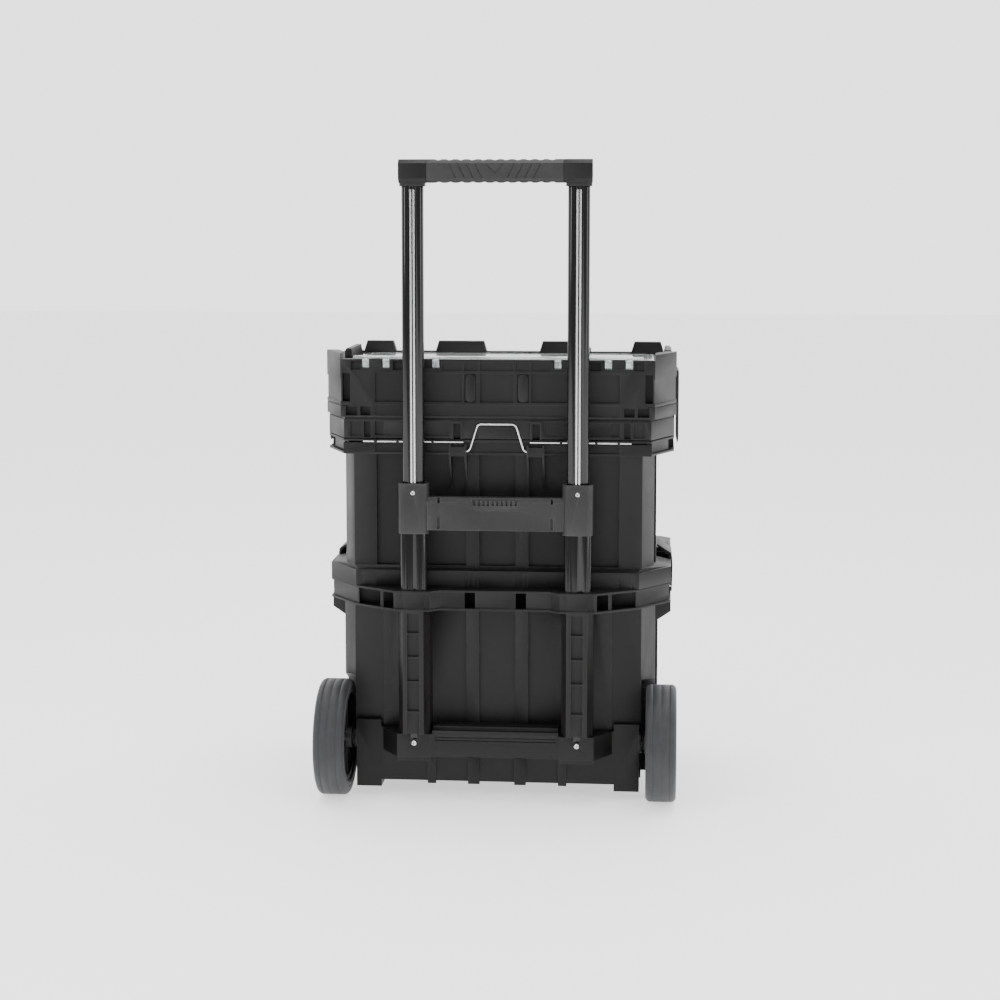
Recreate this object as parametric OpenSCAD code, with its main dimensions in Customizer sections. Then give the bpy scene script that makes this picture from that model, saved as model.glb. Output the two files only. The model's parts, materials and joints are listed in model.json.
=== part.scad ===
// Rolling tool box: a wheeled bin, a tool box and a small parts organizer stacked
// in front of a pull-out handle. It stands on z = 0, centred in X and Y.
// The latches face -Y, the handle and the wheels are towards +Y, left is -X.
// All sizes are in millimetres.

/* [Stack] */
// Half width of the organizer and its lid
organizer_half_w = 273; // [271:1:274]
// Half width of the bin's rim and the tool box's skirt
rim_half_w = 267; // [264:1:268]
// Half width of the bin's body
bin_half_w = 243; // [241:1:244]
// Half width of the tool box's body
box_half_w = 240; // [238:1:242]
// Front face of the rims and lids
front_y = -208; // [-209:1:-206]
// Rear face of the rims and lids
rear_y = 145; // [144:1:146]
// Rear face of the bin's and the tool box's walls
wall_y = 130; // [129:1:131]
// Thickness of a moulded wall
wall = 3; // [2.5:0.1:3.5]

/* [Heights] */
// Underside of the bin's floor
bin_bottom = 25; // [24:1:28]
// Underside of the bin's rim
rim_bottom = 302; // [300:1:304]
// Top of the bin's rim
rim_top = 333; // [332:1:334]
// Top of the tool box's skirt
skirt_top = 358; // [356:1:360]
// Joint between the tool box and its lid
box_split = 561; // [560:1:562]
// Joint between the tool box's lid and the organizer
organizer_bottom = 594; // [593:1:596]
// Top of the organizer's side walls
organizer_top = 665; // [664:1:666]
// Top of the stack
stack_top = 689; // [688:1:690]

/* [Handle] */
// Distance of each tube from the middle
tube_x = 125; // [124:1:126]
// Distance of the tubes behind the middle
tube_y = 165; // [165:0.5:166]
// Width and depth of the fixed tubes
outer_tube = [42, 26];
// Width and depth of the sliding tubes
inner_tube = [33, 19];
// Top of the grip when it is pulled out
grip_top = 985; // [960:5:1000]
// Height of the grip
grip_h = 35; // [32:1:38]
// Depth of the grip
grip_d = 32; // [30:1:33]

/* [Wheels] */
// Diameter of a wheel
wheel_d = 180; // [180:1:181]
// Width of a tyre
wheel_w = 47; // [44:1:48]
// Inner face of each wheel
wheel_inner = 230; // [230:1:231]
// Distance of the axle behind the middle
axle_y = 130; // [129:1:131]
// Diameter of the axle
axle_d = 12.7; // [10:0.1:14]

/* [Hidden] */
$fn = 64;
slip = 0.05;
gap = 0.3;
body_c = [0.17, 0.16, 0.16];
bar_c = [0.27, 0.26, 0.27];
soft_c = [0.22, 0.21, 0.22];
tyre_c = [0.30, 0.30, 0.32];
tube_c = [0.12, 0.12, 0.14];
steel_c = [0.78, 0.78, 0.80];
clear_c = [0.86, 0.90, 0.90, 0.4];

axle_z = wheel_d / 2;
axle_r = axle_d / 2;
wheel_x = wheel_inner + wheel_w / 2;
lip = 3;
rib = 3;
rim_setback = 3;
arch_x = 222;
arch_r = wheel_d / 2 + 8;

// Rear carrier that holds the axle and the feet of the tubes
beam_bottom = 73;
beam_top = 109;
carrier_front = 100;
carrier_rear = 180;
skirt_rear = 140;
foot_inner = 181;
foot_outer = 220;
foot_bottom = 14;
foot_top = 120;
socket_floor = 77;
carrier_screw_z = 95;

// Fixed tubes, crossbar and sliding tubes
tube_r = 9;
tube_wall = 1.5;
tube_top = 490;
sleeve = [46, 30];
sleeve_bottom = 420;
sleeve_top = 497;
bar_bottom = 426;
bar_top = 476;
bar_rear = 177.5;
rivet_z = 483;
slide_bottom = 437;
slide_top = grip_top - 29;
grip_bottom = grip_top - grip_h;
end_x = 103;
grip_half_w = 145;

// Latches
latch_y = -214;
latch_face = 6;
pin_r = 2;
latch_r = 4;
side_latch_y = [-52, 32];
lever_y = [-70, 10];
side_pin_x = 268;
side_pin_z = 656;
lever_pin = [265.5, 314];

// Organizer hinge and lid
tab_spans = [[88, 130], [164.5, 206]];
leg_w = 10;
hinge_y = 141;
hinge_z = 681.5;
knuckle_r = 2.8;
hinge_pin_r = 1.5;
lid_z = [666, 669];
strip_top = 687;
corner_top = 692;
rail_y = -190;

// Rear wire of the tool box
wire_r = 1.5;
rod_r = 1.2;
wire_y = 147;
wire_foot_z = 543;
wire_top_z = 585;
rod_z = 557.5;

function both_sides(p) = concat(p, [for (i = [len(p) - 1:-1:0]) [-p[i].x, p[i].y]]);
function box_plan(half_w, front, rear, rear_half_w, run) = both_sides([
    [half_w - 18, front], [half_w, front + 18], [half_w, rear - run], [rear_half_w, rear]]);
function arc(cx, cy, r, a0, a1, n) = [
    for (i = [0:n]) [cx + r * cos(a0 + (a1 - a0) * i / n), cy + r * sin(a0 + (a1 - a0) * i / n)]];

bin_plan = box_plan(bin_half_w, -190, wall_y, 222, 32);
box_wall_plan = box_plan(box_half_w, -190, wall_y, 222, 32);
skirt_plan = box_plan(rim_half_w, front_y, rear_y, 218, 65);
lid_plan = box_plan(organizer_half_w - 3, front_y, rear_y, 235, 75);
organizer_plan = box_plan(organizer_half_w, front_y, rear_y, 240, 75);
bin_rim_plan = both_sides([
    [rim_half_w - 18, front_y], [rim_half_w, front_y + 18], [rim_half_w, 80], [218, rear_y],
    [152, 187], [98, 187], [83, 175]]);
beam_plan = both_sides([
    [foot_outer, carrier_front], [foot_outer, skirt_rear], [178, skirt_rear],
    [151, carrier_rear], [99, carrier_rear], [92, 175]]);

module mirrored() {
    children();
    mirror([1, 0, 0]) children();
}

module block(x, y, z) {
    translate([x[0], y[0], z[0]]) cube([x[1] - x[0], y[1] - y[0], z[1] - z[0]]);
}

module prism(plan, z0, z1, grow = 0) {
    translate([0, 0, z0])
        linear_extrude(z1 - z0)
            if (grow == 0) polygon(plan);
            else offset(delta = grow) polygon(plan);
}

module ring(plan, z0, z1, thickness, grow = 0) {
    difference() {
        prism(plan, z0, z1, grow);
        prism(plan, z0 - 1, z1 + 1, grow - thickness);
    }
}

module rod_x(x0, x1, r) {
    translate([x0, 0, 0]) rotate([0, 90, 0]) cylinder(h = x1 - x0, r = r);
}

module rounded(w, d, r) {
    square([w - 2 * r, d], center = true);
    square([w, d - 2 * r], center = true);
    for (x = [-1, 1], y = [-1, 1]) translate([x * (w / 2 - r), y * (d / 2 - r)]) circle(r);
}

module at_tube(side, z) {
    translate([side * tube_x, tube_y, z]) children();
}

module tube_bar(size, r, z0, z1) {
    translate([0, 0, z0]) linear_extrude(z1 - z0) rounded(size[0], size[1], r);
}

// Ribs between the two lips of a rim, on its front and side faces
module rim_ribs(plan, z0, z1, depth, front_xs, side_ys) {
    intersection() {
        ring(plan, z0, z1, depth, -1);
        mirrored() {
            for (x = front_xs) block([x - rib / 2, x + rib / 2], [-300, 0], [z0, z1]);
            for (y = side_ys) block([150, 300], [y - rib / 2, y + rib / 2], [z0, z1]);
        }
    }
}

module rim(plan, z0, z1, setback) {
    ring(plan, z0, z0 + lip, 40);
    ring(plan, z1 - lip, z1, 40);
    ring(plan, z0, z1, wall, -setback);
}

// ---- Bin ----

module wheel_arches(grow) {
    mirrored() translate([arch_x - grow, axle_y, axle_z]) rod_x(0, 60, arch_r + grow);
}

module carrier_notch(grow) {
    block([-260, 260], [carrier_front - 0.5 - grow, 300], [0, beam_top + gap + grow]);
    mirrored() block([foot_inner - 0.5 - grow, 260], [carrier_front - 0.5 - grow, 300],
        [0, foot_top + gap + grow]);
}

module bin_wall_ribs() {
    mirrored() {
        block([28, 48], [wall_y - 1, wall_y + 5], [beam_top + 1, rim_bottom + 1]);
        block([149, 177], [wall_y - 1, wall_y + 4], [beam_top + 1, rim_bottom + 1]);
        for (x = [20, 66, 112, 158, 204]) block([x, x + 18], [-195, -189], [45, rim_bottom + 1]);
        for (y = [-170, -128, -86, -44]) block([bin_half_w - 1, bin_half_w + 4],
            [y, y + 14], [45, 270]);
    }
}

// Deep pockets between the lips of the rim
module rim_pockets() {
    z = [rim_bottom + lip, rim_top - lip];
    mirrored() {
        block([31, 47], [wall_y + 3, 200], z);
        block([155, 172], [wall_y + 3, 200], z);
        block([177, 213], [wall_y + 3, 200], z);
        for (x = [20:45:200]) block([x, x + 38], [-240, -197], z);
        for (y = [-165, 25]) block([250, 300], [y, y + 32], z);
    }
}

module side_grips() {
    mirrored() translate([0, 66, 0]) rotate([90, 0, 0]) linear_extrude(176)
        polygon([[bin_half_w - 1, 267], [rim_half_w, 284], [rim_half_w, rim_bottom + 1],
            [bin_half_w - 1, rim_bottom + 1]]);
}

module side_grip_hollows() {
    mirrored() block([bin_half_w + 3.5, rim_half_w - 4], [-104, 60], [240, rim_bottom - 4]);
}

// Columns on the rear wall that hold the fixed tubes, with a ladder of rungs in a slot
module tube_columns() {
    mirrored() {
        difference() {
            translate([0, 0, beam_top + gap]) linear_extrude(rim_top - beam_top - gap) polygon([
                [tube_x - 24, wall_y - 4], [tube_x + 24, wall_y - 4], [tube_x + 24, 170],
                [tube_x + 16, 185], [tube_x - 16, 185], [tube_x - 24, 170]]);
            block([tube_x - 9, tube_x + 9], [180, 186], [beam_top - 1, rim_bottom - 4]);
            block([tube_x - 20, tube_x + 20], [wall_y - 5, 149], [beam_top + 5, rim_top + 1]);
        }
        for (z = [143, 190, 228, 265]) block([tube_x - 9.5, tube_x + 9.5], [179.5, 184.5], [z, z + 3]);
    }
}

module bin_cavity() {
    difference() {
        prism(bin_plan, bin_bottom + wall + 1, rim_top + 1, -wall);
        wheel_arches(wall);
        carrier_notch(wall);
    }
}

module bin_tub() {
    color(body_c) difference() {
        union() {
            difference() {
                union() {
                    prism(bin_plan, bin_bottom, rim_top);
                    rim(bin_rim_plan, rim_bottom, rim_top, rim_setback);
                    bin_wall_ribs();
                    side_grips();
                }
                wheel_arches(0);
                carrier_notch(0);
                rim_pockets();
                bin_cavity();
                side_grip_hollows();
                mirrored() block([rim_half_w - 9, 300], lever_y, [rim_bottom - 1, rim_top + 1]);
            }
            mirrored() block([158, 222], [-184, -132], [4, bin_bottom + 1]);
            for (x = [-120, -60, 0, 60, 120]) block([x - 3, x + 3], [-180, 90], [20, bin_bottom + 1]);
            mirrored() lever_ears();
            tube_columns();
        }
        for (s = [-1, 1]) at_tube(s, 0) tube_bar(outer_tube + [0.1, 0.1], tube_r, beam_top - 1, rim_top + 1);
        mirrored() block([tube_x - 20, tube_x + 20], [wall_y - 12, 149], [beam_top + 5, rim_top + 1]);
        mirrored() translate([lever_pin[0], 0, lever_pin[1]]) rotate([90, 0, 0])
            cylinder(h = 200, r = pin_r + slip, center = true);
    }
}

module lever_ears() {
    for (y = [lever_y[0] + 1, lever_y[1] - 9])
        block([rim_half_w - 10, rim_half_w + 2], [y, y + 8], [rim_bottom + lip, rim_top - 8]);
}

module bin_lever_pins() {
    color(steel_c) mirrored() translate([lever_pin[0], lever_y[0] + 1.5, lever_pin[1]])
        rotate([-90, 0, 0]) cylinder(h = lever_y[1] - lever_y[0] - 3, r = pin_r);
}

// Side lever of the bin: a plate that leans in over the tool box's skirt
module bin_lever(side) {
    y0 = lever_y[0] + 10;
    y1 = lever_y[1] - 10;
    color(body_c) scale([side, 1, 1]) difference() {
        union() {
            translate([0, y1, 0]) rotate([90, 0, 0]) linear_extrude(y1 - y0)
                polygon([[lever_pin[0] + 1, 312], [lever_pin[0] + 4, 314], [270, 345], [267.5, 365],
                    [244.8, 379.5], [244.8, 376], [263.6, 362.5], [266, 345], [lever_pin[0] - 1, 318]]);
            translate([lever_pin[0], y1, lever_pin[1]]) rotate([90, 0, 0])
                cylinder(h = y1 - y0, r = latch_r);
        }
        translate([lever_pin[0], 100, lever_pin[1]]) rotate([90, 0, 0])
            cylinder(h = 200, r = pin_r + slip);
    }
}

module front_feet() {
    color(soft_c) mirrored() difference() {
        block([160, 220], [-182, -134], [0, 4 - slip]);
        for (y = [-172, -158, -144]) block([166, 214], [y - 2, y + 2], [-1, 1]);
    }
}

// ---- Axle carrier, axle and wheels ----

module axle_carrier() {
    color(body_c) difference() {
        union() {
            prism(beam_plan, beam_bottom, beam_top);
            block([-foot_inner - 1, foot_inner + 1], [carrier_front, skirt_rear],
                [bin_bottom, beam_bottom + 1]);
            block([-97, 97], [skirt_rear + 2, 176], [beam_top - 1, beam_top + 5]);
            block([-96, 96], [skirt_rear + 2, 166], [beam_top + 4, beam_top + 10]);
            mirrored() {
                block([foot_inner, foot_outer], [carrier_front, skirt_rear], [foot_bottom, foot_top]);
                block([95, 108], [skirt_rear - 1, skirt_rear + 5], [bin_bottom - 3, beam_bottom + 1]);
                block([27, 45], [skirt_rear - 1, skirt_rear + 5], [bin_bottom - 3, beam_bottom + 1]);
                block([99, 151], [skirt_rear - 1, carrier_rear - 8], [beam_bottom - 8, beam_bottom + 1]);
                translate([foot_outer - 1, axle_y, axle_z]) rod_x(0, 5, 16);
            }
        }
        block([-90, 90], [skirt_rear + 3, 170], [beam_bottom - 9, beam_top - 4]);
        block([-foot_inner + 4, foot_inner - 4], [carrier_front + 4, skirt_rear - 4],
            [bin_bottom - 1, beam_top - 4]);
        mirrored() block([foot_inner + 4, foot_outer - 4], [carrier_front + 4, skirt_rear - 4],
            [foot_bottom - 1, 72]);
        mirrored() block([tube_x - 5, tube_x + 5], [carrier_rear - 3, 181], [101, 110]);
        block([-93, 93], [173, 181], [98, 100]);
        block([-93, 93], [173.5, 181], [103, 104.5]);
        translate([0, axle_y, axle_z]) rod_x(-240, 240, axle_r + slip);
        for (s = [-1, 1]) {
            at_tube(s, 0) tube_bar(outer_tube + [0.1, 0.1], tube_r, socket_floor, beam_top + 1);
            translate([s * tube_x, 190, carrier_screw_z]) rotate([90, 0, 0])
                cylinder(h = 30, r = 3 + slip);
        }
    }
}

module axle() {
    color(steel_c) translate([0, axle_y, axle_z]) rod_x(-wheel_x - 16, wheel_x + 16, axle_r);
}

module axle_spacers() {
    color(soft_c) mirrored() translate([wheel_x, axle_y, axle_z]) difference() {
        rod_x(-29, -26.4, 11);
        rod_x(-40, 0, axle_r + slip);
    }
}

module axle_retainers() {
    color(steel_c) mirrored() translate([wheel_x, axle_y, axle_z]) difference() {
        rod_x(13.4, 15.4, 11);
        rod_x(0, 40, axle_r + slip);
    }
}

module tyre(side) {
    half = wheel_w / 2;
    section = concat([[67.8, -half + 3], [70.8, -half]],
        arc(axle_z - 9, -half + 9, 9, -90, 0, 6), arc(axle_z - 9, half - 9, 9, 0, 90, 6),
        [[70.8, half], [67.8, half - 3]]);
    color(tyre_c) translate([side * wheel_x, axle_y, axle_z]) rotate([0, 90, 0])
        rotate_extrude($fn = 96) polygon(section);
}

module hub(side) {
    color(body_c) translate([side * wheel_x, axle_y, axle_z]) scale([side, 1, 1]) difference() {
        union() {
            difference() {
                rod_x(-20, 20, 67.8);
                rod_x(-21, 21, 60);
            }
            rod_x(-3, 3, 61);
            rod_x(-26, 13, 17);
            for (a = [0:36:324]) rotate([a, 0, 0]) {
                block([-18, 2], [-2, 2], [15, 61]);
                block([-2, 18], [-2, 2], [26, 61]);
            }
        }
        rod_x(-40, 40, axle_r + slip);
    }
}

module hub_cap(side) {
    color(soft_c) translate([side * wheel_x, axle_y, axle_z]) scale([side, 1, 1]) difference() {
        union() {
            rod_x(3, 22, 25);
            rod_x(21, wheel_w / 2, 20);
        }
        rod_x(2, 19.5, 22.5);
    }
}

// ---- Fixed tubes and crossbar ----

module outer_tube_part(side) {
    color(tube_c) difference() {
        at_tube(side, 0) difference() {
            tube_bar(outer_tube, tube_r, socket_floor + slip, tube_top);
            tube_bar(outer_tube - 2 * [tube_wall, tube_wall], tube_r - tube_wall, 0, tube_top + 1);
        }
        for (h = [[carrier_screw_z, 3], [rivet_z, 1.6]])
            translate([side * tube_x, 190, h[0]]) rotate([90, 0, 0]) cylinder(h = 20, r = h[1] + slip);
    }
}

module tube_foot_plugs() {
    color(body_c) for (s = [-1, 1]) difference() {
        at_tube(s, 0) tube_bar(outer_tube - [3.1, 3.1], tube_r - tube_wall, socket_floor + 1, 103);
        translate([s * tube_x, 190, carrier_screw_z]) rotate([90, 0, 0]) cylinder(h = 40, r = 3 + slip);
    }
}

module screw(head_r, head_h, r, length) {
    rotate([-90, 0, 0]) difference() {
        union() {
            cylinder(h = head_h * 0.5, r = head_r);
            translate([0, 0, head_h * 0.5 - 0.01]) cylinder(h = head_h * 0.5, r1 = head_r, r2 = head_r * 0.7);
            translate([0, 0, -length]) cylinder(h = length + 0.1, r = r);
        }
        for (a = [0, 90]) rotate([0, 0, a])
            block([-head_r * 0.55, head_r * 0.55], [-head_r * 0.12, head_r * 0.12], [head_h * 0.45, head_h * 2]);
    }
}

module carrier_screws() {
    color(steel_c) for (s = [-1, 1])
        translate([s * tube_x, carrier_rear + slip, carrier_screw_z]) screw(4, 2.4, 3, 18);
}

module sleeve_rivets() {
    color(steel_c) for (s = [-1, 1])
        translate([s * tube_x, tube_y + sleeve[1] / 2 + slip, rivet_z]) screw(3.2, 1.8, 1.6, 3);
}

module tube_collars() {
    color(body_c) for (s = [-1, 1]) at_tube(s, 0) difference() {
        union() {
            tube_bar(outer_tube - [3.1, 3.1], tube_r - tube_wall, 466, tube_top + 1);
            tube_bar(outer_tube, tube_r, tube_top + slip, tube_top + 3.5);
        }
        tube_bar(inner_tube + [0.7, 0.7], 7, 460, 500);
    }
}

module crossbar_solid() {
    difference() {
        union() {
            for (s = [-1, 1]) at_tube(s, 0) tube_bar(sleeve, 10, sleeve_bottom, sleeve_top);
            translate([-104, 0, 0]) rotate([90, 0, 90]) linear_extrude(208)
                polygon([[153, bar_bottom], [bar_rear, bar_bottom], [bar_rear, bar_top - 6],
                    [bar_rear - 5, bar_top], [158, bar_top], [153, bar_top - 6]]);
        }
        for (s = [-1, 1]) at_tube(s, 0) {
            tube_bar(outer_tube + [0.1, 0.1], tube_r, sleeve_bottom - 1, tube_top + 3.6);
            tube_bar(inner_tube + [1.2, 1.2], 7, tube_top, sleeve_top + 1);
        }
        block([-98, 98], [156, 172], [bar_bottom + 3, 460]);
        for (s = [-1, 1]) translate([s * tube_x, 190, rivet_z]) rotate([90, 0, 0])
            cylinder(h = 12, r = 1.6 + slip);
        translate([0, bar_rear + 1, 0]) rotate([90, 0, 0]) linear_extrude(4.6)
            polygon([[-37, bar_top + 1], [-33, 464], [33, 464], [37, bar_top + 1]]);
        mirrored() {
            block([83.7, 88.3], [bar_rear - 2.6, 180], [428, 446]);
            block([84, 88], [bar_rear - 7, 180], [467, 480]);
        }
        for (z = [457, 460.5]) block([-33, 33], [bar_rear - 0.6, 180], [z, z + 0.8]);
    }
    for (x = [-28:7:28]) block([x - 1.6, x + 1.6], [172, bar_rear - 1], [463, 472]);
}

module crossbar_rear() {
    color(bar_c) intersection() {
        crossbar_solid();
        block([-200, 200], [tube_y, 200], [400, 500]);
    }
}

module crossbar_front() {
    color(bar_c) intersection() {
        crossbar_solid();
        block([-200, 200], [100, tube_y], [400, 500]);
    }
}

// ---- Sliding handle ----

module slide_profile() {
    difference() {
        rounded(inner_tube[0], inner_tube[1], 7);
        difference() {
            rounded(inner_tube[0] - 3.2, inner_tube[1] - 3.2, 5.4);
            for (s = [-1, 1]) translate([0, s * 10]) square([20, 8.8], center = true);
        }
        for (s = [-1, 1], x = [-4.7, 0, 4.7]) translate([x, s * 8.8]) square([2, 2], center = true);
    }
}

module slide_tube(side) {
    color(tube_c) difference() {
        at_tube(side, slide_bottom) linear_extrude(slide_top - slide_bottom) slide_profile();
        translate([side * tube_x, 180, grip_bottom - 27]) rotate([90, 0, 0]) {
            cylinder(h = 7.7, r = 3.4);
            cylinder(h = 9, r = 1.1);
        }
    }
}

module slide_guides() {
    color(soft_c) for (s = [-1, 1]) at_tube(s, 0) difference() {
        tube_bar(outer_tube - [3.8, 3.8], 8, slide_bottom, slide_bottom + 14);
        tube_bar(inner_tube + [0.1, 0.1], 7, slide_bottom - 1, slide_bottom + 15);
    }
}

module slide_screws() {
    color(steel_c) for (s = [-1, 1])
        translate([s * tube_x, tube_y + 7.4, grip_bottom - 27]) screw(3, 1.8, 1, 1);
}

function chamfered(w, h, c) = [[-w / 2 + c, -h / 2], [w / 2 - c, -h / 2], [w / 2, -h / 2 + c],
    [w / 2, h / 2 - c], [w / 2 - c, h / 2], [-w / 2 + c, h / 2], [-w / 2, h / 2 - c], [-w / 2, -h / 2 + c]];

module grip_section(x0, x1, w, h, c) {
    translate([x0, tube_y, grip_top - grip_h / 2]) rotate([90, 0, 90])
        linear_extrude(x1 - x0) polygon(chamfered(w, h, c));
}

module button_pocket() {
    block([-38.5, 38.5], [140, 157.6], [grip_bottom + 2.5, grip_bottom + 23.6]);
}

module grip_solid() {
    difference() {
        union() {
            mirrored() grip_section(end_x, grip_half_w, grip_d, grip_h, 6);
            grip_section(-end_x - 1, end_x + 1, 22, 24, 3);
            for (s = [-1, 1]) at_tube(s, 0) tube_bar([39, 23], 8, grip_bottom - 5, grip_bottom + 3);
        }
        mirrored() block([grip_half_w - 2.5, 160], [tube_y - 9, tube_y + 9],
            [grip_bottom + 8, grip_top - 8]);
        for (s = [-1, 1]) at_tube(s, 0) {
            tube_bar(inner_tube + [0.1, 0.1], 7, grip_bottom - 6, slide_top + slip);
            translate([0, 0, grip_bottom]) cylinder(h = 15, r = 3);
        }
        button_pocket();
        block([-131, 131], [159.5, 170.5], [grip_bottom + 10, grip_bottom + 23]);
        block([-24, 24], [150, 162], [grip_bottom + 10, grip_bottom + 23]);
    }
}

module grip_back() {
    color(body_c) intersection() {
        grip_solid();
        block([-200, 200], [tube_y, 200], [900, 1100]);
    }
}

module grip_front() {
    color(body_c) intersection() {
        grip_solid();
        block([-200, 200], [100, tube_y], [900, 1100]);
    }
}

module grip_end_caps() {
    color(soft_c) mirrored() block([grip_half_w - 2.4, grip_half_w - 0.6], [tube_y - 8.9, tube_y + 8.9],
        [grip_bottom + 8.1, grip_top - 8.1]);
}

// Soft cover of the grip, with slanting grooves that meet in a V in the middle
module grip_cover() {
    zc = grip_top - grip_h / 2;
    color(soft_c) difference() {
        grip_section(-end_x + 0.6, end_x - 0.6, grip_d, grip_h, 6);
        grip_section(-end_x - 2, end_x + 2, 22.1, 24.1, 3);
        button_pocket();
        for (side = [-1, 1]) translate([0, tube_y + side * grip_d / 2, zc]) mirrored() {
            for (x = [24:13:63]) translate([x, 0, 0]) rotate([0, 27, 0])
                block([-0.9, 0.9], [-1, 1], [-11.5, 11.5]);
            translate([0, 0, -3]) rotate([0, 45, 0]) block([-1.1, 1.1], [-1, 1], [0, 17]);
        }
        for (x = [-85:17:85], z = [grip_top + 10.6, grip_bottom - 10.6]) translate([x, tube_y, z])
            rotate([90, 0, 0]) cylinder(h = 60, r = 12, center = true);
    }
}

// The release trigger, the bar that it lifts and the two rods inside the tubes
module release_button() {
    color(bar_c) difference() {
        block([-38, 38], [147.5, 157], [grip_bottom + 3, grip_bottom + 17]);
        for (x = [-30:6:30]) block([x - 1, x + 1], [140, 148.3], [grip_bottom, grip_bottom + 20]);
    }
}

module release_link() {
    color(steel_c) {
        block([-129, 129], [161, 169], [grip_bottom + 11, grip_bottom + 16]);
        block([-22, 22], [157 + slip, 161.5], [grip_bottom + 11, grip_bottom + 16]);
    }
}

module lock_rods() {
    color(steel_c) for (s = [-1, 1]) at_tube(s, slide_bottom + 1)
        cylinder(h = grip_bottom - slide_bottom + 10 - slip, r = 2.5);
}

// ---- Tool box ----

module box_cavity() {
    prism(box_plan(box_half_w - wall, -187, wall_y - 11, 218, 30), 349, box_split + 1);
}

module box_rear_recess() {
    difference() {
        block([-187, 187], [wall_y - 8, wall_y + 10], [363.5, 537]);
        mirrored() block([28, 48], [wall_y - 9, wall_y + 11], [363, 538]);
    }
}

// Brackets on the rear wall that carry the wire's feet, each with two gussets
module hinge_brackets() {
    mirrored() for (x = [46, 70]) {
        translate([x, 0, 0]) rotate([90, 0, 90]) linear_extrude(3)
            polygon([[wall_y - 9, 484], [wall_y - 4, 484], [149, 530], [149, 554], [wall_y - 9, 554]]);
        block([47, 72], [wall_y - 9, 149], [536, 550]);
    }
}

module toolbox_tub() {
    color(body_c) difference() {
        union() {
            difference() {
                union() {
                    prism(box_wall_plan, 345, box_split);
                    ring(skirt_plan, rim_top + gap, skirt_top, wall);
                    ring(skirt_plan, skirt_top - lip, skirt_top, 40);
                    hull() {
                        prism(skirt_plan, skirt_top - 1, skirt_top, -5);
                        prism(box_wall_plan, skirt_top + 4, skirt_top + 5);
                    }
                    rim(lid_plan, 538, box_split, 9);
                    rim_ribs(lid_plan, 538, box_split, 9, [40, 80, 120, 160, 200],
                        [-160, -120, -80, 40]);
                    block([-187, 187], [wall_y, rear_y - 3], [538, box_split]);
                    mirrored() block([187, 236], [wall_y - 10, rear_y - 0.5], [538, box_split - 6]);
                    for (x = [-190:38:190]) block([x - 6, x + 6], [-195, -189], [362, 538]);
                    mirrored() for (y = [-150, -100, -50, 0, 50])
                        block([box_half_w - 1, box_half_w + 3], [y, y + 20], [362, 538]);
                }
                box_cavity();
                box_rear_recess();
                prism(box_wall_plan, rim_top, 345);
                mirrored() for (x = [28, 34, 42, 48, 187, 208])
                    block([x - 0.6, x + 0.6], [rear_y - 0.7, 150], [rim_top, skirt_top - 2]);
                mirrored() block([box_half_w + 3.5, 300], [lever_y[0] - 2, lever_y[1] + 2], [330, 400]);
            }
            hinge_brackets();
            mirrored() block([70.6, 80], [-207, -188], [514, 537]);
            for (s = [-1, 1]) latch_ears(s * 150, 552, -200);
        }
        mirrored() translate([0, wire_y, wire_foot_z]) rod_x(44, 60, wire_r + slip);
        translate([0, -202, 524]) rod_x(-90, 90, 3 + slip);
        for (s = [-1, 1]) translate([s * 150, latch_y, 552]) rod_x(-40, 40, pin_r + slip);
    }
}

// Two ears that stand out from the front to carry a latch's pin
module latch_ears(x, z, y) {
    for (s = [-1, 1]) translate([x + s * 30, 0, 0])
        block([-4, 4], [latch_y - 4, y + 2], [z - 5, z + 5]);
}

module latch_pins(xs, z) {
    for (x = xs) translate([x, latch_y, z]) rod_x(-33, 33, pin_r);
}

// Over-centre latch: a barrel on its pin and a ribbed plate with a hooked end
module latch(z, height) {
    color(bar_c) translate([0, latch_y, z]) difference() {
        union() {
            rod_x(-25.6, 25.6, latch_r);
            block([-25.6, 25.6], [-latch_face, -2], [0, height]);
            block([-25.6, 25.6], [-latch_face, 4.5], [height - 4, height]);
            block([-18, 18], [-latch_face, 1], [height - 14, height - 8]);
        }
        rod_x(-40, 40, pin_r + slip);
        for (x = [-15:10:15]) block([x - 2.5, x + 2.5], [-latch_face - 1, -latch_face + 1.2],
            [8, height - 16]);
    }
}

module toolbox_latch(side) {
    translate([side * 150, 0, 0]) latch(552, 38);
}

module toolbox_latch_pins() {
    color(steel_c) latch_pins([-150, 150], 552);
}

module toolbox_seal() {
    color(soft_c) ring(box_wall_plan, box_split + slip, box_split + 1.5, 3);
}

module toolbox_lid() {
    z0 = box_split + 1.6;
    color(body_c) difference() {
        union() {
            prism(lid_plan, z0, organizer_bottom - 3);
            prism(lid_plan, organizer_bottom - 4, organizer_bottom, -2);
            block([-28, 28], [rear_y - 2, rear_y + 2.5], [z0, 582]);
            mirrored() block([51, 70], [rear_y - 1, rear_y + 3.5], [z0, 590]);
        }
        prism(box_plan(box_half_w + 8, -192, wall_y + 2, 222, 40), z0 - 1, organizer_bottom - 5);
        mirrored() {
            block([208, 225], [rear_y - 3, 150], [z0 + 3, 588]);
            block([193.6, 204], [rear_y - 8, 150], [z0 + 1, 588]);
            block([55, 66], [rear_y - 8, 150], [z0 - 1, 586]);
            block([74, 187], [rear_y - 2, 150], [z0 + 4, 588]);
            block([174, 187], [rear_y - 5, 150], [z0 + 4, 588]);
            block([262, 300], side_latch_y, [z0 - 1, 600]);
            for (x = [40, 84, 190, 225]) block([x, x + 30], [-215, front_y + 3], [z0 + 4, 586]);
        }
        for (s = [-1, 1]) difference() {
            block([s * 150 - 30, s * 150 + 30], [-215, front_y + 3], [z0 - 1, 600]);
            block([s * 150 - 24, s * 150 + 24], [-209, front_y + 4], [579, 585.4]);
        }
    }
}

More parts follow.
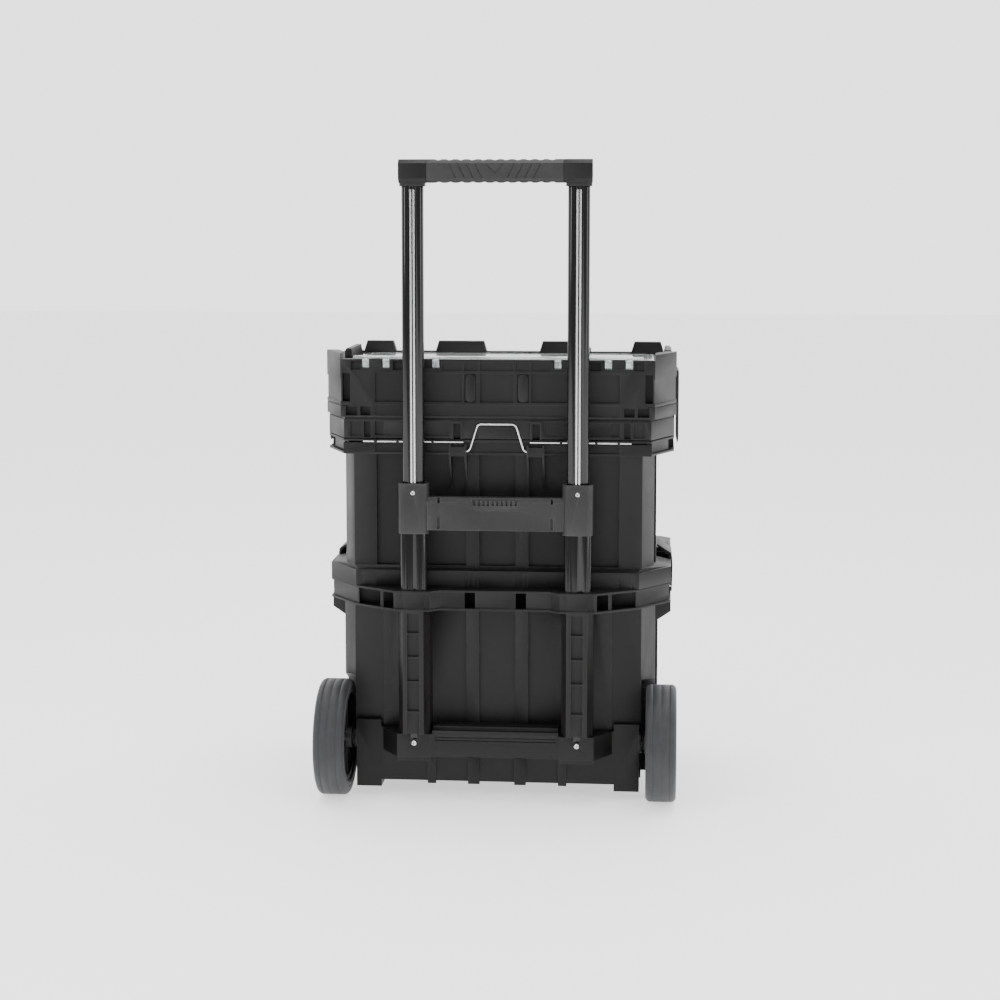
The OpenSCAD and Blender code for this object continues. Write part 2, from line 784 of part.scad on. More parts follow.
// Hinge rods of the tool box's lid, along its rear edge
module lid_rods() {
    color(steel_c) mirrored() translate([0, rear_y + 2.5, rod_z]) rod_x(51, 205, rod_r);
}

module lid_rod_clips() {
    color(body_c) mirrored() for (x = [96, 150, 184]) difference() {
        block([x, x + 4], [rear_y + slip, rear_y + 4.5], [rod_z - 3, rod_z + 3]);
        translate([0, rear_y + 2.5, rod_z]) rod_x(60, 220, rod_r + slip);
    }
}

// Wire bail: feet in the brackets, sloping legs and a straight top
module wire_bail() {
    run = 42 - 29;
    rise = wire_top_z - wire_foot_z;
    color(steel_c) translate([0, wire_y, 0]) {
        translate([0, 0, wire_top_z]) rod_x(-29, 29, wire_r);
        for (s = [-1, 1]) {
            translate([s * 29, 0, wire_top_z]) sphere(r = wire_r + 0.1);
            translate([s * 42, 0, wire_foot_z]) rotate([0, -s * atan2(run, rise), 0])
                cylinder(h = norm([run, rise]), r = wire_r);
            translate([s * 42, 0, wire_foot_z]) sphere(r = wire_r + 0.1);
            translate([s * 49, 0, wire_foot_z]) rod_x(-7, 7, wire_r);
        }
    }
}

module swing_handle(half_w, y, z, drop, arm) {
    color(bar_c) {
        mirrored() block([half_w - 9, half_w], [y - arm / 2, y + arm / 2], [z - drop, z + 5]);
        block([-half_w + 8, half_w - 8], [y - arm / 2, y + arm / 2], [z - drop, z - drop + 14]);
        mirrored() translate([half_w - 0.1, y, z]) rod_x(0, 8, 3);
    }
}

module toolbox_handle() {
    swing_handle(70, -202, 524, 48, 9);
}

// ---- Organizer ----

module organizer_cavity() {
    prism(box_plan(255, -196, 126, 228, 62), organizer_bottom + 4, organizer_top + 30);
}

module stadium(x, z0, z1, w, y0, y1) {
    translate([x, y1, 0]) rotate([90, 0, 0]) linear_extrude(y1 - y0) {
        translate([-w / 2, z0 + w / 2]) square([w, z1 - z0 - w]);
        translate([0, z0 + w / 2]) circle(w / 2);
        translate([0, z1 - w / 2]) circle(w / 2);
    }
}

module organizer_base() {
    z0 = organizer_bottom + 0.4;
    band_top = 683.5;
    color(body_c) difference() {
        union() {
            difference() {
                union() {
                    prism(organizer_plan, z0, organizer_top);
                    intersection() {
                        prism(organizer_plan, organizer_top - 1, corner_top);
                        union() {
                            block([-241, 241], [134, 200], [600, band_top]);
                            mirrored() block([240, 300], [60, 200], [600, corner_top]);
                        }
                    }
                }
                organizer_cavity();
                organizer_rear_relief(z0);
                mirrored() {
                    for (x = [[42, 66], [182, 202], [214, 250]]) block(x, [-215, front_y + 5], [600, 612]);
                    block([262, 300], side_latch_y, [z0 - 1, 700]);
                    block([organizer_half_w - 2.5, 300], [-200, -60], [618, 655]);
                    for (t = tab_spans) block([t[0] - 0.6, t[1] + 0.6], [129.5, 150], [669.8, 700]);
                }
                block([-210, 210], [-215, front_y + 3], [618, 662]);
            }
            mirrored() for (x = [27, 51]) block([x - 1.5, x + 1.5], [140, rear_y], [614, band_top]);
            mirrored() for (t = tab_spans) hinge_knuckle(t[0] + leg_w + gap, t[1] - leg_w - gap);
            for (s = [-1, 1]) latch_ears(s * 105, 626, -206);
            mirrored() block([62.6, 72], [-219, -204], [636, 652]);
            side_pin_ears();
        }
        mirrored() translate([0, hinge_y, hinge_z]) rod_x(60, 230, hinge_pin_r + slip);
        translate([0, latch_y, 644]) rod_x(-90, 90, 3 + slip);
        for (s = [-1, 1]) translate([s * 105, latch_y, 626]) rod_x(-40, 40, pin_r + slip);
        mirrored() translate([side_pin_x, 0, side_pin_z]) rotate([90, 0, 0])
            cylinder(h = 120, r = pin_r + slip, center = true);
    }
}

// Panels, pockets and grooves in the organizer's rear face
module organizer_rear_relief(z0) {
    mirrored() {
        block([225, 237], [rear_y - 14, 150], [618, 662]);
        for (x = [[193.5, 209.5], [214, 232]]) block(x, [rear_y - 11, 150], [597, 611]);
        for (x = [[135, 159], [208, 224]]) block(x, [rear_y - 5, 150], [667, 681]);
        intersection() {
            block([228, 300], [55, 150], [618, 654]);
            ring(organizer_plan, 600, 700, 1.6, 0.1);
        }
        intersection() {
            block([228, 300], [55, 150], [611.5, 613]);
            ring(organizer_plan, 600, 700, 2, 0.1);
        }
    }
    difference() {
        block([-187, 187], [rear_y - 4, 150], [618, 662]);
        mirrored() {
            stadium(40, 619, 661, 15, rear_y - 5, rear_y - 0.5);
            block([28, 31], [rear_y - 5, 150], [617, 664]);
            block([112, 115], [rear_y - 5, 150], [617, 664]);
        }
    }
    block([-84, 84], [rear_y - 2.5, 150], [666, 680]);
    block([-187, 187], [rear_y - 1.5, 150], [z0 + 3, 614]);
}

module hinge_knuckle(x0, x1) {
    translate([0, hinge_y, hinge_z]) rod_x(x0, x1, knuckle_r);
    block([x0, x1], [hinge_y - 5, hinge_y + knuckle_r], [664, hinge_z]);
}

module side_pin_ears() {
    mirrored() for (y = [side_latch_y[0] + 0.01, side_latch_y[1] - 7.01])
        block([261, 272], [y, y + 7], [650, 661]);
}

module organizer_hinge_pins() {
    color(steel_c) mirrored() for (t = tab_spans) translate([0, hinge_y, hinge_z])
        rod_x(t[0] + 0.2, t[1] - 0.2, hinge_pin_r);
}

module organizer_latch_pins() {
    color(steel_c) {
        latch_pins([-105, 105], 626);
        mirrored() translate([side_pin_x, side_latch_y[0] + 0.5, side_pin_z]) rotate([-90, 0, 0])
            cylinder(h = side_latch_y[1] - side_latch_y[0] - 1, r = pin_r);
    }
}

module organizer_cups() {
    color(bar_c) for (ix = [-1.5:1:1.5], iy = [0, 1]) {
        x = ix * 108;
        y0 = -186 + iy * 150;
        difference() {
            block([x - 52, x + 52], [y0, y0 + 146], [organizer_bottom + 4.2, 660]);
            block([x - 50, x + 50], [y0 + 2, y0 + 144], [organizer_bottom + 6.2, 661]);
        }
    }
}

module organizer_lid() {
    color(clear_c) difference() {
        union() {
            prism(box_plan(organizer_half_w - 1, rail_y, 130, 238, 60), lid_z[0], lid_z[1]);
            ring(box_plan(252, -187, 121, 224, 60), lid_z[0] - 5, lid_z[0] + 1, 3);
            ring(box_plan(240, -178, 112, 215, 60), lid_z[1] - 1, lid_z[1] + 1.5, 6);
            difference() {
                block([-222, 222], [118, 130], [lid_z[0], strip_top]);
                block([-219, 219], [121, 127], [lid_z[0] - 1, strip_top - 3]);
            }
            mirrored() for (t = tab_spans) {
                block(t, [129, hinge_y], [strip_top - 2.3, strip_top]);
                for (x = [t[0], t[1] - leg_w]) {
                    block([x, x + leg_w], [hinge_y - 4, hinge_y + 3.4], [672, hinge_z + 2]);
                    block([x, x + leg_w], [hinge_y - 4, hinge_y], [hinge_z, strip_top]);
                    translate([0, hinge_y, hinge_z]) rod_x(x, x + leg_w, 4);
                }
            }
        }
        mirrored() {
            block([262, 300], side_latch_y, [600, 700]);
            block([238.8, 300], [58.5, 200], [600, 700]);
            translate([0, hinge_y, hinge_z]) rod_x(60, 230, hinge_pin_r + slip);
        }
    }
}

// Dark rail along the front edge of the clear lid, with four lugs, and two side rails
module lid_lug(x, w) {
    top = stack_top - lid_z[0];
    translate([x, rail_y - 0.1, lid_z[0]]) rotate([90, 0, 0]) linear_extrude(16)
        polygon([[-w / 2, 0], [w / 2, 0], [w / 2 - 7, top], [-w / 2 + 7, top]]);
}

module lid_rails() {
    color(body_c) {
        difference() {
            intersection() {
                prism(organizer_plan, lid_z[0], lid_z[0] + 6);
                block([-300, 300], [-300, rail_y - slip], [600, 700]);
            }
            for (s = [-1, 1]) block([s * 105 - 30, s * 105 + 30], [-215, front_y + 2], [600, 700]);
        }
        mirrored() {
            lid_lug(88, 90);
            lid_lug(226, 58);
            translate([0, -58, lid_z[1] + slip]) rotate([90, 0, 0]) linear_extrude(110)
                polygon([[252, 0], [266, 0], [266, 11], [263, 16], [255, 16]]);
        }
    }
}

module organizer_latch(side) {
    translate([side * 105, 0, 0]) latch(626, 51);
}

// Side latch that hangs from the organizer and reaches down past the tool box's lid
module side_latch(side) {
    y0 = side_latch_y[0] + 8;
    y1 = side_latch_y[1] - 8;
    color(bar_c) scale([side, 1, 1]) difference() {
        union() {
            translate([side_pin_x, y1, side_pin_z]) rotate([90, 0, 0]) cylinder(h = y1 - y0, r = latch_r);
            translate([0, y1, 0]) rotate([90, 0, 0]) linear_extrude(y1 - y0)
                polygon([[side_pin_x, 660], [274.5, 660], [277, 657], [277, 552], [275.5, 545],
                    [274.5, 545], [272.6, 556], [272.4, 652], [side_pin_x, 652]]);
        }
        translate([side_pin_x, 0, side_pin_z]) rotate([90, 0, 0])
            cylinder(h = 120, r = pin_r + slip, center = true);
        for (z = [575:14:645]) block([276, 280], [y0 + 8, y1 - 8], [z, z + 5]);
    }
}

module organizer_handle() {
    swing_handle(62, latch_y, 644, 34, 9);
}

bin_tub();
front_feet();
axle_carrier();
axle();
axle_spacers();
axle_retainers();
outer_tube_part(-1);  // outer_tube_left
outer_tube_part(1);  // outer_tube_right
tube_foot_plugs();
tube_collars();
carrier_screws();
crossbar_rear();
crossbar_front();
sleeve_rivets();
bin_lever_pins();
bin_lever(-1);  // bin_lever_left
bin_lever(1);  // bin_lever_right
tyre(-1);  // tyre_left
hub(-1);  // hub_left
hub_cap(-1);  // hub_cap_left
tyre(1);  // tyre_right
hub(1);  // hub_right
hub_cap(1);  // hub_cap_right
slide_tube(-1);  // slide_tube_left
slide_tube(1);  // slide_tube_right
slide_guides();
slide_screws();
grip_back();
grip_front();
grip_cover();
grip_end_caps();
release_button();
release_link();
lock_rods();
toolbox_tub();
toolbox_lid();
toolbox_seal();
lid_rods();
lid_rod_clips();
wire_bail();
toolbox_latch(-1);  // toolbox_latch_left
toolbox_latch(1);  // toolbox_latch_right
toolbox_latch_pins();
toolbox_handle();
organizer_base();
organizer_cups();
organizer_hinge_pins();
organizer_lid();
lid_rails();
organizer_latch(-1);  // organizer_latch_left
organizer_latch(1);  // organizer_latch_right
organizer_latch_pins();
side_latch(-1);  // side_latch_left
side_latch(1);  // side_latch_right
organizer_handle();
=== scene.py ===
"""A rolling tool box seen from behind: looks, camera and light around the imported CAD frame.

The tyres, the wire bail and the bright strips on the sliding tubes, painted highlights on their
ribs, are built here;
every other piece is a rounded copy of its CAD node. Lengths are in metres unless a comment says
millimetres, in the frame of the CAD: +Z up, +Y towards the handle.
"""

import json
import math

import bmesh
import bpy
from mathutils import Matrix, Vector


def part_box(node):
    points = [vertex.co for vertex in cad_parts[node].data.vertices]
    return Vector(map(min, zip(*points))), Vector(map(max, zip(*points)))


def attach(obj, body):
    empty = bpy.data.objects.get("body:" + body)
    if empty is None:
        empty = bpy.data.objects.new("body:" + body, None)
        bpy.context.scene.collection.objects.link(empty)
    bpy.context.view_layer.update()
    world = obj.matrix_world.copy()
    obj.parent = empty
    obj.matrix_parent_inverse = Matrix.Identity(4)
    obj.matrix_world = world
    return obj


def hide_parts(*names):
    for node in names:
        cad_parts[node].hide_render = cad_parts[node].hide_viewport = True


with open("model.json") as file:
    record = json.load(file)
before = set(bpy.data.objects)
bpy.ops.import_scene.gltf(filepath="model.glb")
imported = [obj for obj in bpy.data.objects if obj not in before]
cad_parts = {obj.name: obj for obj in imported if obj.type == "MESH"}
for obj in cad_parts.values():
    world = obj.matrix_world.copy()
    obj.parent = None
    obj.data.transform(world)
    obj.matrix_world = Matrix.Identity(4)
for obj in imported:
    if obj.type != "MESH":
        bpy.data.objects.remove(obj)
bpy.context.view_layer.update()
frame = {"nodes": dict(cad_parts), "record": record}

MM = 0.001
BODY_OF = {
    node: body for body, nodes in frame["record"]["behaviour"]["bodies"].items() for node in nodes
}
SLOT_OF = {s["node"]: s["material_slot"] for s in frame["record"]["subparts"]}


# ---- Materials ----


class Nodes:
    """A material under construction: adds nodes, links them and sets their sockets."""

    def __init__(self, name):
        self.material = bpy.data.materials.new(name)
        self.material.use_nodes = True
        self.tree = self.material.node_tree
        self.shader = self.tree.nodes["Principled BSDF"]
        self.coords = self.tree.nodes.new("ShaderNodeTexCoord").outputs["Object"]

    def put(self, socket, value):
        if isinstance(value, bpy.types.NodeSocket):
            self.tree.links.new(value, socket)
        else:
            socket.default_value = value

    def noise(self, scale, detail, roughness=0.5, stretch=None):
        node = self.tree.nodes.new("ShaderNodeTexNoise")
        self.put(node.inputs["Scale"], scale)
        self.put(node.inputs["Detail"], detail)
        self.put(node.inputs["Roughness"], roughness)
        vector = self.coords
        if stretch:
            mapping = self.tree.nodes.new("ShaderNodeMapping")
            self.put(mapping.inputs["Vector"], vector)
            mapping.inputs["Scale"].default_value = stretch
            vector = mapping.outputs["Vector"]
        self.put(node.inputs["Vector"], vector)
        return node.outputs["Fac"]

    def remap(self, value, low, high, out_low, out_high):
        node = self.tree.nodes.new("ShaderNodeMapRange")
        for name, v in zip(
            ("Value", "From Min", "From Max", "To Min", "To Max"),
            (value, low, high, out_low, out_high),
        ):
            self.put(node.inputs[name], v)
        return node.outputs["Result"]

    def spread(self, noise, out_low=0.0, out_high=1.0):
        """Maps the middle of a noise, where most of its values lie, over a whole range."""
        return self.remap(noise, 0.3, 0.7, out_low, out_high)

    def mix(self, factor, a, b):
        node = self.tree.nodes.new("ShaderNodeMix")
        node.data_type = "RGBA"
        self.put(node.inputs["Factor"], factor)
        self.put(node.inputs["A"], a)
        self.put(node.inputs["B"], b)
        return node.outputs["Result"]

    def maths(self, operation, a, b):
        node = self.tree.nodes.new("ShaderNodeMath")
        node.operation = operation
        self.put(node.inputs[0], a)
        self.put(node.inputs[1], b)
        return node.outputs[0]

    def bump(self, height, distance):
        node = self.tree.nodes.new("ShaderNodeBump")
        self.put(node.inputs["Strength"], 1.0)
        self.put(node.inputs["Distance"], distance)
        self.put(node.inputs["Height"], height)
        return node.outputs["Normal"]

    def edges(self, radius):
        """1 at edges and inner corners, 0 on flat faces: how far a bevel would turn the surface."""
        bevel = self.tree.nodes.new("ShaderNodeBevel")
        bevel.samples = 4
        self.put(bevel.inputs["Radius"], radius)
        geometry = self.tree.nodes.new("ShaderNodeNewGeometry")
        dot = self.tree.nodes.new("ShaderNodeVectorMath")
        dot.operation = "DOT_PRODUCT"
        self.put(dot.inputs[0], bevel.outputs["Normal"])
        self.put(dot.inputs[1], geometry.outputs["True Normal"])
        return self.remap(dot.outputs["Value"], 0.995, 0.85, 0.0, 1.0)


def colour(value, tint=(1.0, 1.0, 1.0)):
    return (value * tint[0], value * tint[1], value * tint[2], 1.0)


def moulded(name, dark, light, tint, roughness):
    """Moulded plastic: fine spark-eroded grain, cloudy sheen, and edges lightened partly as rubbed
    wear, partly as a painted highlight.
    """
    m = Nodes(name)
    cloud = m.noise(9.0, 4.0, 0.6)
    fine = m.noise(2600.0, 2.0, 0.6)
    dust = m.noise(70.0, 5.0, 0.65)
    tone = m.mix(m.spread(cloud), colour(dark, tint), colour(light, tint))
    dusty = m.mix(m.remap(dust, 0.55, 0.8, 0.0, 0.25), tone, colour(light * 1.6, tint))
    # Edges and inner corners lightened towards six times the light tone: a painted highlight where
    # bevels catch the light, mixed with rubbed wear
    rubbed_and_highlit_edges = m.maths("MULTIPLY", m.edges(0.0012), m.remap(dust, 0.35, 0.65, 0.2, 0.5))
    m.put(m.shader.inputs["Base Color"], m.mix(rubbed_and_highlit_edges, dusty, colour(light * 6.0, tint)))
    rough = m.spread(cloud, roughness - 0.05, roughness + 0.07)
    m.put(m.shader.inputs["Roughness"], rough)
    m.shader.inputs["Specular IOR Level"].default_value = 0.24
    m.put(m.shader.inputs["Normal"], m.bump(fine, 0.00006))
    return m.material


def rubber(name, dark, light, tint, roughness):
    """Rubber: matte, mottled, with faint scuffs running round it."""
    m = Nodes(name)
    cloud = m.noise(22.0, 5.0, 0.6)
    scuff = m.noise(60.0, 4.0, 0.7, stretch=(9.0, 1.0, 1.0))
    tone = m.mix(m.spread(cloud), colour(dark, tint), colour(light, tint))
    worn = m.mix(m.remap(scuff, 0.5, 0.75, 0.0, 0.45), tone, colour(light * 1.9, tint))
    m.put(m.shader.inputs["Base Color"], worn)
    m.put(m.shader.inputs["Roughness"], m.spread(scuff, roughness, roughness + 0.12))
    m.shader.inputs["Sheen Weight"].default_value = 0.08
    height = m.maths("ADD", m.noise(900.0, 3.0, 0.6), m.maths("MULTIPLY", scuff, 1.5))
    m.put(m.shader.inputs["Normal"], m.bump(height, 0.00008))
    return m.material


def metal(name, base, roughness):
    """Bright plated steel with faint handling marks."""
    m = Nodes(name)
    marks = m.noise(300.0, 3.0, 0.6)
    cloud = m.noise(30.0, 3.0)
    m.put(m.shader.inputs["Base Color"], m.mix(cloud, colour(base * 0.85), colour(base)))
    m.shader.inputs["Metallic"].default_value = 1.0
    m.put(m.shader.inputs["Roughness"], m.spread(marks, roughness, roughness + 0.15))
    m.put(m.shader.inputs["Normal"], m.bump(marks, 0.00002))
    return m.material


def lacquer(name):
    """Glossy black lacquer over drawn metal: long faint streaks under a clear coat."""
    m = Nodes(name)
    streak = m.noise(160.0, 2.0, 0.4, stretch=(1.0, 1.0, 0.01))
    cloud = m.noise(14.0, 3.0)
    m.put(m.shader.inputs["Base Color"], m.mix(cloud, colour(0.004), colour(0.007)))
    m.put(m.shader.inputs["Roughness"], m.spread(streak, 0.16, 0.24))
    m.shader.inputs["Specular IOR Level"].default_value = 0.3
    m.shader.inputs["Coat Weight"].default_value = 0.25
    m.shader.inputs["Coat Roughness"].default_value = 0.12
    m.put(m.shader.inputs["Normal"], m.bump(streak, 0.000008))
    return m.material


def clear(name):
    """Clear moulded plastic with a faint tint and fine handling marks."""
    m = Nodes(name)
    haze = m.noise(35.0, 5.0, 0.6)
    scratch = m.noise(500.0, 2.0, 0.6, stretch=(1.0, 8.0, 1.0))
    hazed = m.mix(haze, (0.80, 0.86, 0.85, 1), (0.92, 0.95, 0.94, 1))
    m.put(m.shader.inputs["Base Color"], hazed)
    m.put(m.shader.inputs["Roughness"], m.spread(haze, 0.08, 0.2))
    m.shader.inputs["Transmission Weight"].default_value = 0.9
    m.shader.inputs["IOR"].default_value = 1.49
    m.put(m.shader.inputs["Normal"], m.bump(scratch, 0.00002))
    return m.material


WARM = (1.0, 0.955, 0.93)
NEUTRAL = (1.0, 0.98, 0.985)
BLUE = (0.90, 0.95, 1.08)
FINISH = {
    "body_plastic": moulded("plastic_body", 0.0058, 0.0092, WARM, 0.46),
    "grey_plastic": moulded("plastic_grey", 0.020, 0.027, NEUTRAL, 0.48),
    "soft_rubber": rubber("rubber_soft", 0.008, 0.012, NEUTRAL, 0.55),
    "tyre_rubber": rubber("rubber_tyre", 0.014, 0.026, BLUE, 0.55),
    "black_tube": lacquer("lacquer_black"),
    "bright_steel": metal("steel_bright", 0.72, 0.16),
    "clear_plastic": clear("plastic_clear"),
}


# ---- Pieces ----


WELD = 1e-6
FLAT_ANGLE = math.radians(1.0)
EDGE_ANGLE = math.radians(32)
MOULDED_ROUNDING = 0.8 * MM
ROUNDING = {"black_tube": 0.3 * MM, "bright_steel": 0.3 * MM, "clear_plastic": 0.5 * MM}


def put_in_scene(name, data):
    thing = bpy.data.objects.new(name, data)
    bpy.context.scene.collection.objects.link(thing)
    return thing


def fill(mesh, bm):
    """Writes bm into mesh with its faces turned outwards."""
    bmesh.ops.recalc_face_normals(bm, faces=bm.faces)
    bm.to_mesh(mesh)
    bm.free()
    return mesh


def add_piece(name, mesh, node):
    """Shows mesh as a new piece in place of a CAD node, with that node's body and slot."""
    piece = put_in_scene(name, mesh)
    mesh.materials.clear()
    mesh.materials.append(FINISH[SLOT_OF[node]])
    mesh.shade_smooth()
    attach(piece, BODY_OF[node])
    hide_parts(node)
    return piece


def rounded_copy(node):
    """A copy of a CAD node whose edges are rounded, as a mould leaves them."""
    mesh = frame["nodes"][node].data.copy()
    mesh.name = node + "_shape"
    bm = bmesh.new()
    bm.from_mesh(mesh)
    bmesh.ops.remove_doubles(bm, verts=bm.verts, dist=WELD)
    bmesh.ops.dissolve_limit(
        bm, angle_limit=FLAT_ANGLE, verts=bm.verts, edges=bm.edges, delimit={"NORMAL"}
    )
    piece = add_piece(node + "_moulded", fill(mesh, bm), node)
    bevel = piece.modifiers.new("rounding", "BEVEL")
    bevel.width = ROUNDING.get(SLOT_OF[node], MOULDED_ROUNDING)
    bevel.segments = 2
    bevel.limit_method = "ANGLE"
    bevel.angle_limit = EDGE_ANGLE
    bevel.use_clamp_overlap = True
    bevel.harden_normals = True


def lathe(name, profile, centre):
    """A ring turned round the X axis through centre: profile is (radius, x) in millimetres."""
    steps = 160
    bm = bmesh.new()
    rings = []
    for i in range(steps):
        a = math.tau * i / steps
        offsets = [Vector((x, r * math.cos(a), r * math.sin(a))) for r, x in profile]
        rings.append([bm.verts.new(Vector(centre) + offset * MM) for offset in offsets])
    for i, ring in enumerate(rings):
        after = rings[(i + 1) % steps]
        for j in range(len(profile)):
            k = (j + 1) % len(profile)
            bm.faces.new((ring[j], ring[k], after[k], after[j]))
    return fill(bpy.data.meshes.new(name), bm)


# The tyre's section, all in millimetres
TYRE_BORE = 67.8
TYRE_SHOULDER = 8.0
# Its wall, from the bore outwards: (out from the bore, in from the wall)
TYRE_WALL = ((0.0, 3.0), (3.0, 0.0), (6.0, 0.0), (6.8, 0.7), (8.6, 0.7), (9.4, 0.0))
# A groove near each edge of the tread: (in from the tread, in from the wall)
TYRE_EDGE_GROOVE = ((0.0, 9.6), (0.7, 10.2), (0.7, 11.4), (0.0, 12.0))
# Half of the groove at the middle: (in from the tread, out from the middle)
TYRE_MIDDLE_GROOVE = ((0.0, 0.9), (0.25, 0.5))


def tyre_profile(half, outer):
    """Section of a solid tyre: rounded shoulders, a moulded step and a rib on each wall."""
    side = [(TYRE_BORE + out, half - deep) for out, deep in TYRE_WALL]
    arc_steps = 8
    for i in range(arc_steps + 1):
        a = math.radians(90.0 * i / arc_steps)
        across = half - TYRE_SHOULDER * (1 - math.cos(a))
        side.append((outer - TYRE_SHOULDER + TYRE_SHOULDER * math.sin(a), across))
    side += [(outer - deep, half - across) for deep, across in TYRE_EDGE_GROOVE]
    side += [(outer - deep, across) for deep, across in TYRE_MIDDLE_GROOVE]
    return side + [(r, -x) for r, x in reversed(side)]


def make_tyre(side):
    node = "tyre_" + side
    low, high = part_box(node)
    centre = [(a + b) / 2 for a, b in zip(low, high)]
    half = (high[0] - low[0]) / 2 / MM
    outer = (high[2] - low[2]) / 2 / MM
    mesh = lathe(node + "_shape", tyre_profile(half, outer), centre)
    add_piece(node + "_turned", mesh, node)
    mesh.set_sharp_from_angle(angle=math.radians(50))


def bent(points, bend):
    """The path through points with each inner corner rounded off, bend millimetres back."""
    steps = 8
    path = [Vector(points[0])]
    for before, corner, after in zip(points, points[1:], points[2:]):
        corner = Vector(corner)
        start = corner + (Vector(before) - corner).normalized() * bend
        end = corner + (Vector(after) - corner).normalized() * bend
        for i in range(steps + 1):
            t = i / steps
            path.append(start * (1 - t) ** 2 + corner * 2 * t * (1 - t) + end * t**2)
    path.append(Vector(points[-1]))
    return path


def swept(name, path, radius, across):
    """A round wire along path, in millimetres; across is a direction the path never follows."""
    sides = 20
    bm = bmesh.new()
    rings = []
    for i, point in enumerate(path):
        ahead = (path[min(i + 1, len(path) - 1)] - path[max(i - 1, 0)]).normalized()
        u = Vector(across).cross(ahead).normalized()
        v = ahead.cross(u)
        ring = []
        for k in range(sides):
            a = math.tau * k / sides
            place = point + u * radius * math.cos(a) + v * radius * math.sin(a)
            ring.append(bm.verts.new(place * MM))
        rings.append(ring)
    for one, two in zip(rings, rings[1:]):
        for k in range(sides):
            n = (k + 1) % sides
            bm.faces.new((one[k], one[n], two[n], two[k]))
    bm.faces.new(rings[0])
    bm.faces.new(rings[-1])
    return fill(bpy.data.meshes.new(name), bm)


# The wire bail, in millimetres: half widths at its feet, its lower bends and its upper bends
BAIL_FEET, BAIL_LOW, BAIL_HIGH = 52, 42, 29
BAIL_RADIUS = 1.5
BAIL_BEND = 6.0
BAIL_INSET = 1.6


def make_bail():
    """The bent wire at the back of the tool box, with the round bends of real wire."""
    low, high = [[v / MM for v in corner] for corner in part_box("wire_bail")]
    y = (low[1] + high[1]) / 2
    foot, top = low[2] + BAIL_INSET, high[2] - BAIL_INSET
    left = [(-BAIL_FEET, y, foot), (-BAIL_LOW, y, foot), (-BAIL_HIGH, y, top)]
    points = left + [(-x, y, z) for x, y, z in reversed(left)]
    mesh = swept("wire_bail_shape", bent(points, BAIL_BEND), BAIL_RADIUS, (0, 1, 0))
    add_piece("wire_bail_bent", mesh, "wire_bail")
    mesh.set_sharp_from_angle(angle=math.radians(60))


# The bright strips on a sliding tube, painted highlights where its ribs catch the light, in
# millimetres: how far the ribs are from the tube's middle, where the strips start and end, and
# their section as (across the rib, out of the tube's face)
HIGHLIGHT_STRIP_OFFSET = 2.35
HIGHLIGHT_STRIP_ENDS = (456, 940)
HIGHLIGHT_STRIP_SECTION = ((-1.25, -0.02), (-0.95, 0.12), (0.95, 0.12), (1.25, -0.02))


def make_rib_highlight_strips():
    """Bright steel strips on the two ribs down the front and the back of each sliding tube: painted
    highlights.
    """
    for side in ("left", "right"):
        low, high = [[v / MM for v in corner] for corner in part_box("slide_tube_" + side)]
        centre = (low[0] + high[0]) / 2
        bm = bmesh.new()
        for face, out in ((high[1], 1), (low[1], -1)):
            for x in (centre - HIGHLIGHT_STRIP_OFFSET, centre + HIGHLIGHT_STRIP_OFFSET):
                grid = [
                    [bm.verts.new(Vector((x + dx, face + out * dy, z)) * MM) for z in HIGHLIGHT_STRIP_ENDS]
                    for dx, dy in HIGHLIGHT_STRIP_SECTION
                ]
                for one, two in zip(grid, grid[1:] + grid[:1]):
                    bm.faces.new((one[0], one[1], two[1], two[0]))
                for end in (0, 1):
                    bm.faces.new([column[end] for column in grid])
        mesh = fill(bpy.data.meshes.new("rib_highlight_strip_" + side), bm)
        mesh.materials.append(FINISH["bright_steel"])
        piece = put_in_scene("rib_highlight_strip_" + side, mesh)
        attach(piece, "handle")


make_tyre("left")
make_tyre("right")
make_bail()
make_rib_highlight_strips()
built_here = {"tyre_left", "tyre_right", "wire_bail"}
for node in frame["nodes"]:
    if node not in built_here:
        rounded_copy(node)


# ---- Floor, light and camera ----


def make_floor():
    """Pale paper that glows a little, so that it stays bright behind a dark object."""
    mesh = bpy.data.meshes.new("floor_mesh")
    size = 14.0
    mesh.from_pydata(
        [(-size, -size, 0), (size, -size, 0), (size, size, 0), (-size, size, 0)], [], [(0, 1, 2, 3)]
    )
    floor = put_in_scene("floor", mesh)
    m = Nodes("floor_paper")
    tone = m.mix(m.noise(1.5, 2.0), colour(0.90), colour(0.93))
    m.put(m.shader.inputs["Base Color"], tone)
    m.shader.inputs["Roughness"].default_value = 0.7
    m.shader.inputs["Emission Color"].default_value = (1.0, 1.0, 1.0, 1.0)
    m.shader.inputs["Emission Strength"].default_value = 0.9
    mesh.materials.append(m.material)


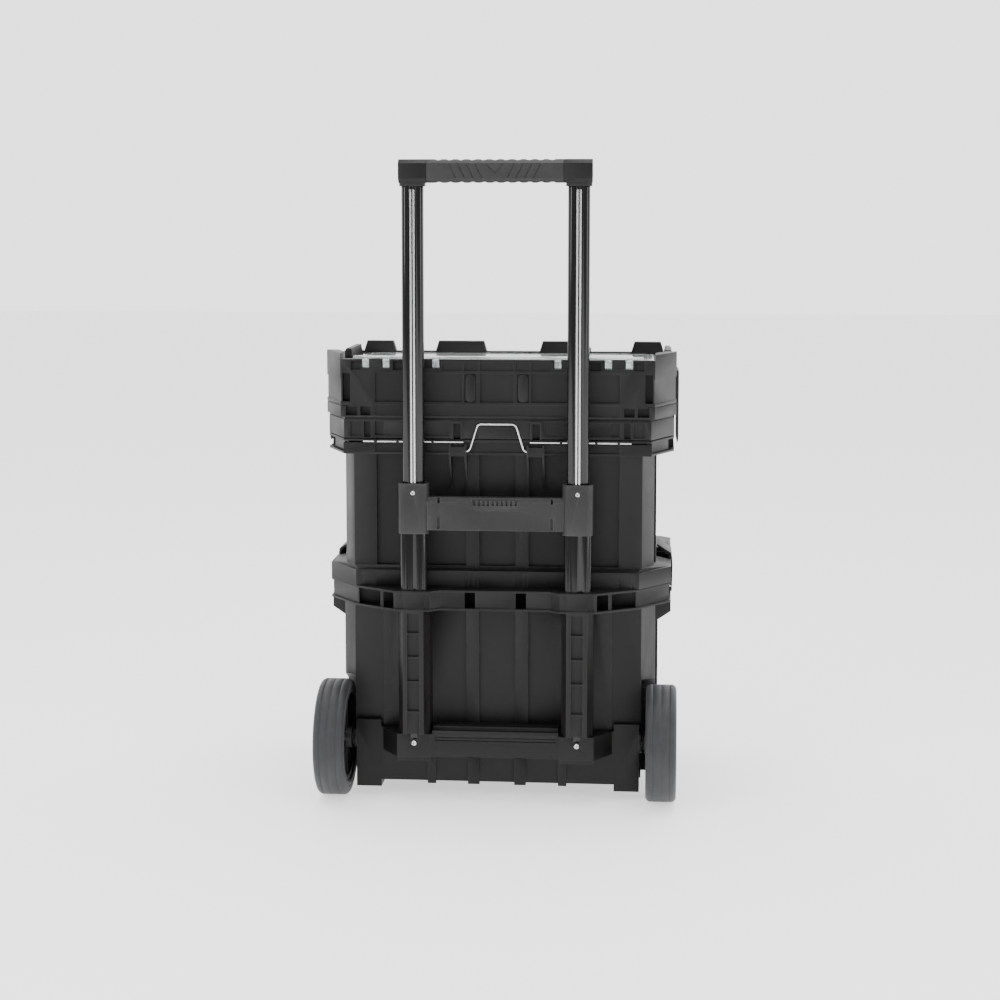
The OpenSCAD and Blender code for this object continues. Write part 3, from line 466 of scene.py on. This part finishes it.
def make_light(name, place, target, size, power):
    """A rectangular light of size (width, height) at place, aimed at target."""
    data = bpy.data.lights.new(name, "AREA")
    data.shape = "RECTANGLE"
    data.size, data.size_y = size
    data.energy = power
    light = put_in_scene(name, data)
    light.location = place
    light.rotation_euler = (Vector(target) - Vector(place)).to_track_quat("-Z", "Y").to_euler()


def make_world():
    """A white studio: bright behind the object, dimmer on the camera's side."""
    world = bpy.data.worlds.new("studio")
    bpy.context.scene.world = world
    world.use_nodes = True
    tree = world.node_tree
    background = tree.nodes["Background"]
    split = tree.nodes.new("ShaderNodeSeparateXYZ")
    tree.links.new(tree.nodes.new("ShaderNodeTexCoord").outputs["Generated"], split.inputs[0])
    fade = tree.nodes.new("ShaderNodeMapRange")
    fade.interpolation_type = "SMOOTHSTEP"
    for name, value in (("From Min", -0.35), ("From Max", 0.25), ("To Min", 2.5), ("To Max", 0.4)):
        fade.inputs[name].default_value = value
    tree.links.new(split.outputs["Y"], fade.inputs["Value"])
    tree.links.new(fade.outputs["Result"], background.inputs["Strength"])
    background.inputs["Color"].default_value = (1.0, 1.0, 1.0, 1.0)


CAMERA_PLACE = (-0.247, 3.120, 0.9136)
CAMERA_YAW = math.radians(180.0 - 4.65)
CAMERA_DOWN = math.radians(6.2)


def make_camera():
    """The photograph's view: from behind, a little to one side, level with the grip."""
    camera = put_in_scene("camera", bpy.data.cameras.new("camera"))
    camera.data.sensor_width = 36.0
    camera.data.lens = 71.0
    camera.data.clip_end = 60.0
    camera.data.shift_y = -0.0784
    camera.location = CAMERA_PLACE
    level = math.cos(CAMERA_DOWN)
    ahead = Vector(
        (math.sin(CAMERA_YAW) * level, math.cos(CAMERA_YAW) * level, -math.sin(CAMERA_DOWN))
    )
    camera.rotation_euler = ahead.to_track_quat("-Z", "Y").to_euler()
    bpy.context.scene.camera = camera


make_floor()
make_world()
make_light("key", (2.4, 2.6, 2.4), (0, 0, 0.5), (1.2, 2.2), 60.0)
make_light("fill", (-2.6, 2.2, 1.6), (0, 0, 0.5), (1.2, 2.2), 45.0)
make_light("top", (0.0, 0.4, 3.2), (0, 0, 0.4), (2.4, 2.4), 60.0)
make_camera()
